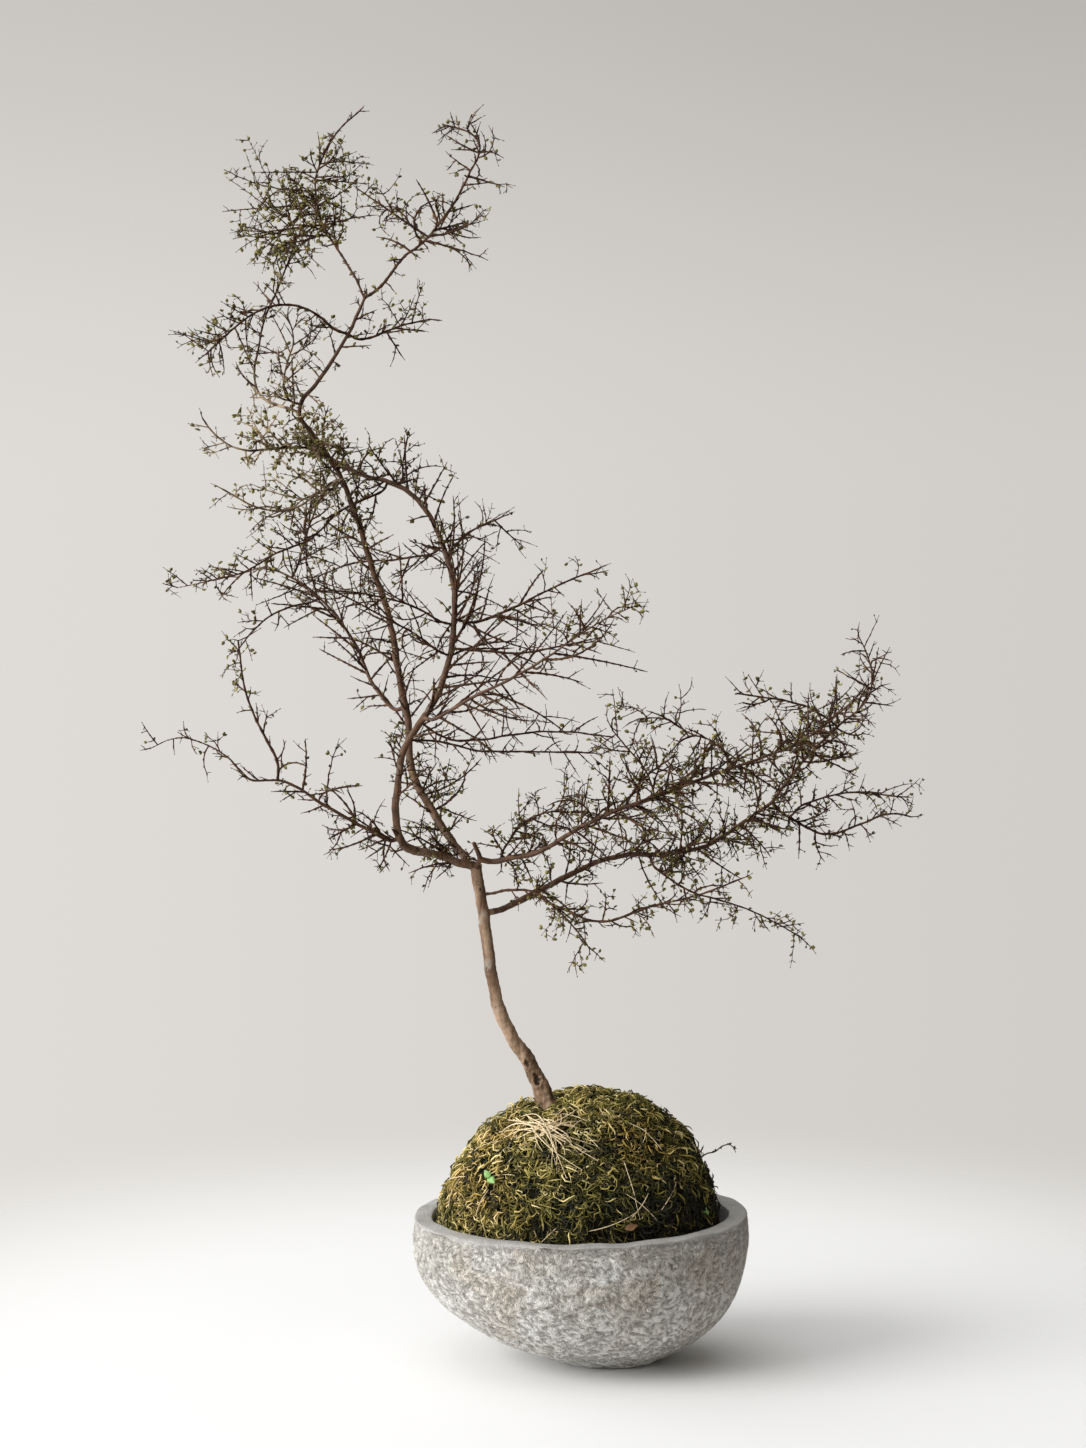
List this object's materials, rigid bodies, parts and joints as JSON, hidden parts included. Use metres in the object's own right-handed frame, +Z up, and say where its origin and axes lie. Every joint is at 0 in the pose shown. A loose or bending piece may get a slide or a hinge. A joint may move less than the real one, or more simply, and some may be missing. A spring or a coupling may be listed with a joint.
{
  "type": "coprosma kokedama",
  "caption": "Small divaricating coprosma tree growing from a moss-wrapped root ball that sits in an oval carved stone bowl.",
  "frame": {"origin": "centre of the bowl's flat foot, on the surface it stands on", "axes": "+Z up, +X to the right seen from the front, and the front of the tree faces -Y"},
  "size_m": [0.6663, 0.2518, 1.1007],
  "materials": {
    "stone": "pecked river stone with a honed rim",
    "moss": "shaggy living moss, matt",
    "soil": "damp potting soil, matt",
    "bark": "thin smooth grey-brown bark",
    "twig_bark": "dark red-brown twig bark",
    "leaf": "small leathery leaves, satin",
    "straw": "dry grass, satin",
    "seedling": "fresh soft leaf, satin",
    "dead_wood": "weathered dark twig, matt"
  },
  "bodies": {
    "root": {"back_leader": "bark", "broken_stub": "bark", "crossing_twig": "twig_bark", "crown_twig": "twig_bark", "curved_leader": "bark", "dead_sprig": "dead_wood", "dense_crown_branch": "twig_bark", "dry_straw": "straw", "high_arch": "twig_bark", "hook_branch": "twig_bark", "inner_sprout": "twig_bark", "leader_left_twig": "twig_bark", "leader_right_twig": "twig_bark", "leaves_dense_crown": "leaf", "leaves_left_column": "leaf", "leaves_low_crown": "leaf", "leaves_low_limb": "leaf", "leaves_low_spray": "leaf", "leaves_mid_left": "leaf", "leaves_right_crown": "leaf", "leaves_right_limb": "leaf", "leaves_shoulder": "leaf", "leaves_tail": "leaf", "leaves_top_crown": "leaf", "left_arm": "twig_bark", "left_column": "twig_bark", "left_limb": "bark", "left_riser": "twig_bark", "long_left_drooper": "twig_bark", "low_crown_branch": "twig_bark", "low_left_sweep": "bark", "low_spray_branch": "twig_bark", "low_spreader": "twig_bark", "low_thin_branch": "twig_bark", "lower_left_twig": "twig_bark", "lower_spreader": "twig_bark", "lowest_branch": "twig_bark", "mid_left_limb": "bark", "mid_left_riser": "twig_bark", "moss_wrap": "moss", "right_arm": "twig_bark", "right_limb": "bark", "right_low_limb": "bark", "right_shoulder": "bark", "right_spreader": "twig_bark", "right_tail": "twig_bark", "seedling": "seedling", "shoulder_arch": "twig_bark", "shoulder_riser": "twig_bark", "soil_ball": "soil", "stone_bowl": "stone", "tail_upper": "twig_bark", "top_fan": "twig_bark", "top_leader": "bark", "top_left_fork": "twig_bark", "top_right_fork": "twig_bark", "trunk": "bark", "upper_right_branch": "twig_bark"}
  },
  "joints": []
}
